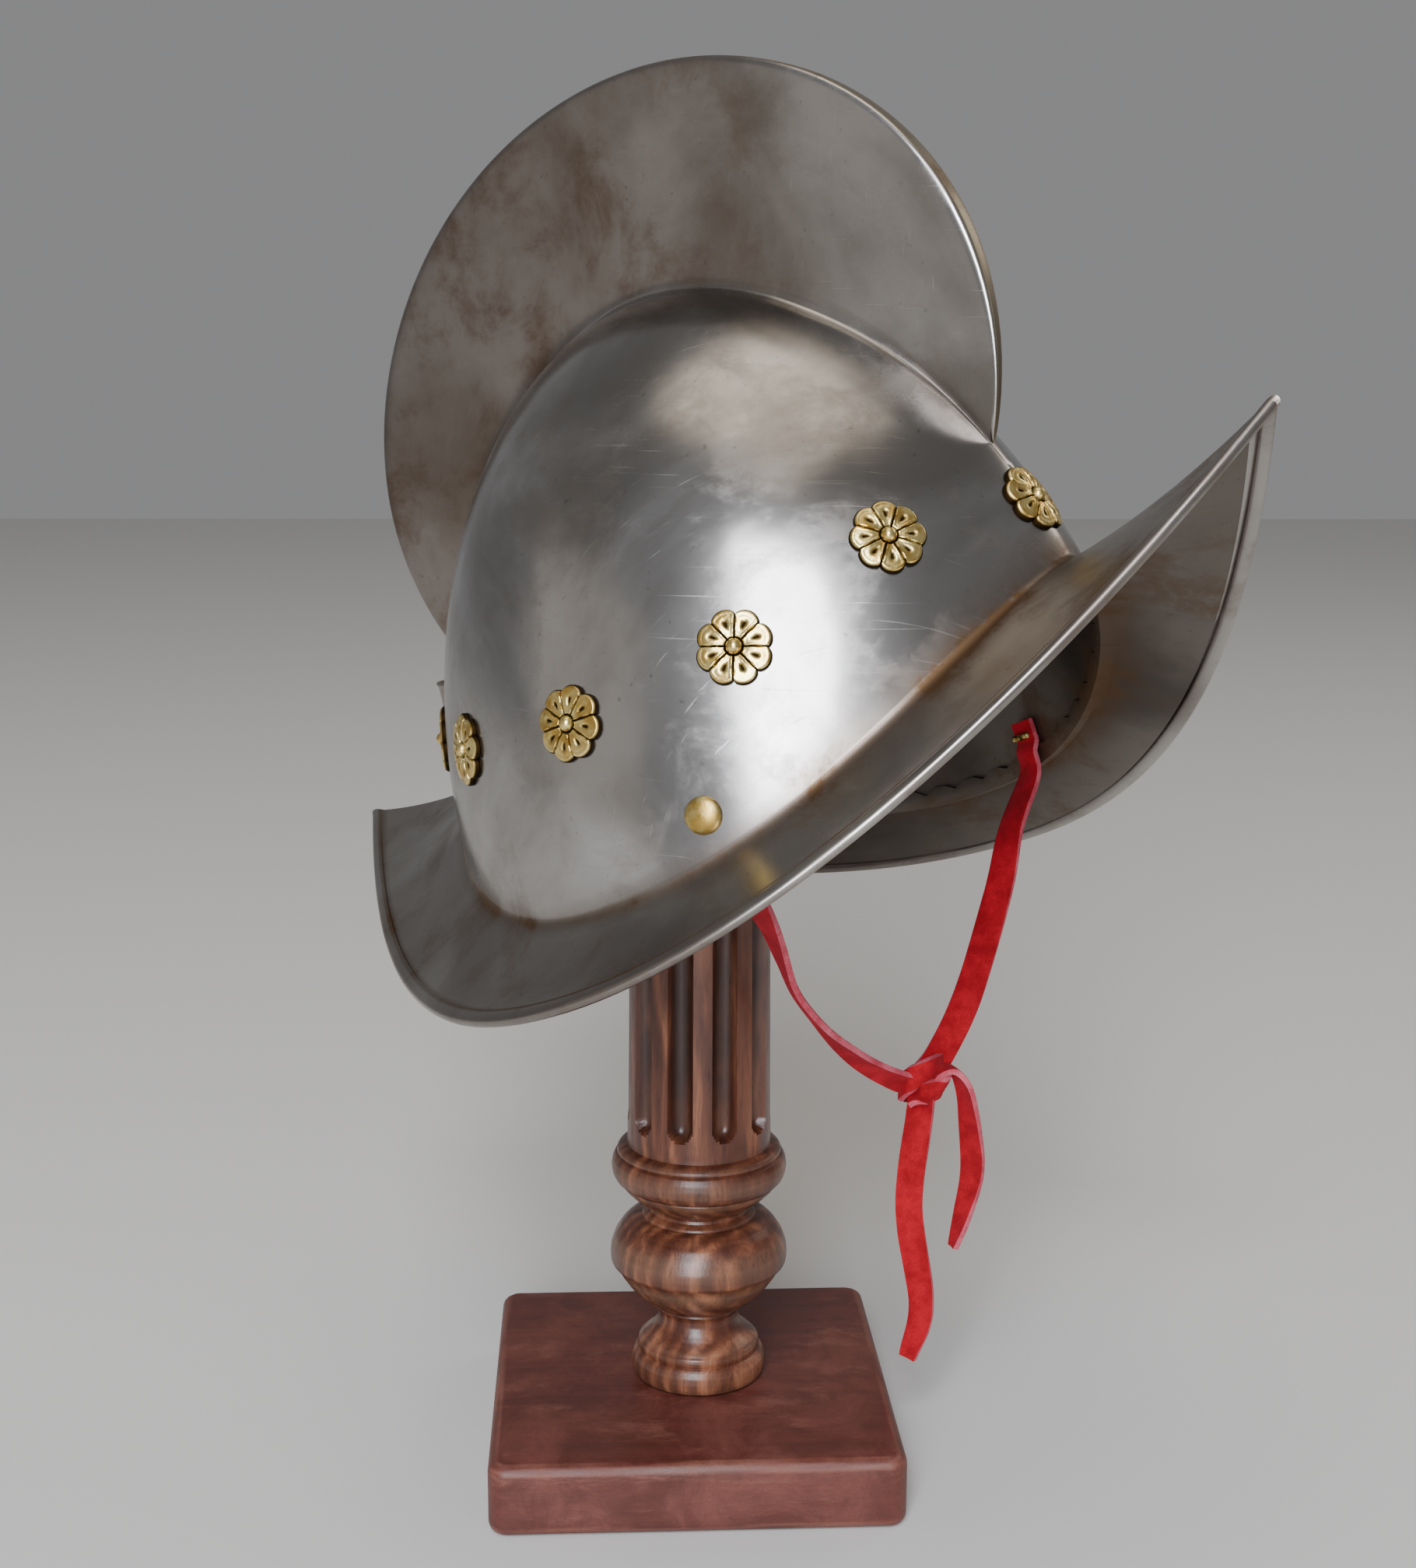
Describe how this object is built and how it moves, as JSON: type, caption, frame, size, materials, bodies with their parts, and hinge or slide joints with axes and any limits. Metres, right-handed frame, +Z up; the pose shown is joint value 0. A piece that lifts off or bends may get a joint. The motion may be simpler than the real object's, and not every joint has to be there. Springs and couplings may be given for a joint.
{
  "type": "combed morion helmet on a turned stand",
  "caption": "Steel morion helmet with a tall round comb, peaked brim, brass rosettes and a tied suede chin strap, balanced on a turned fluted wooden post with a square base.",
  "frame": {"origin": "centre of the square block's underside", "axes": "+Z up along the column, +X and +Y square to the block's sides; the helmet's peak points between +X and -Y"},
  "size_m": [0.2693, 0.2514, 0.4361],
  "materials": {
    "steel": "worn polish with brownish patina",
    "brass": "aged, dark in the grooves",
    "suede": "red suede with paler cut edges",
    "turned_wood": "dark stained and waxed",
    "painted_wood": "dark red-brown stain, worn"
  },
  "bodies": {
    "root": {"bowl_and_comb": "steel", "brim": "steel", "plume_holder": "steel", "rosette_front": "brass", "rosette_right_1": "brass", "rosette_right_2": "brass", "rosette_right_3": "brass", "rosette_right_4": "brass", "rosette_right_5": "brass", "rosette_left_1": "brass", "rosette_left_2": "brass", "rosette_left_3": "brass", "rosette_left_4": "brass", "rosette_left_5": "brass", "strap_rivet_right": "brass", "strap_rivet_left": "brass", "chin_strap_right": "suede", "chin_strap_left": "suede", "strap_knot": "suede", "strap_tail_long": "suede", "strap_tail_short": "suede", "stand_column": "turned_wood", "stand_block": "painted_wood"}
  },
  "joints": []
}
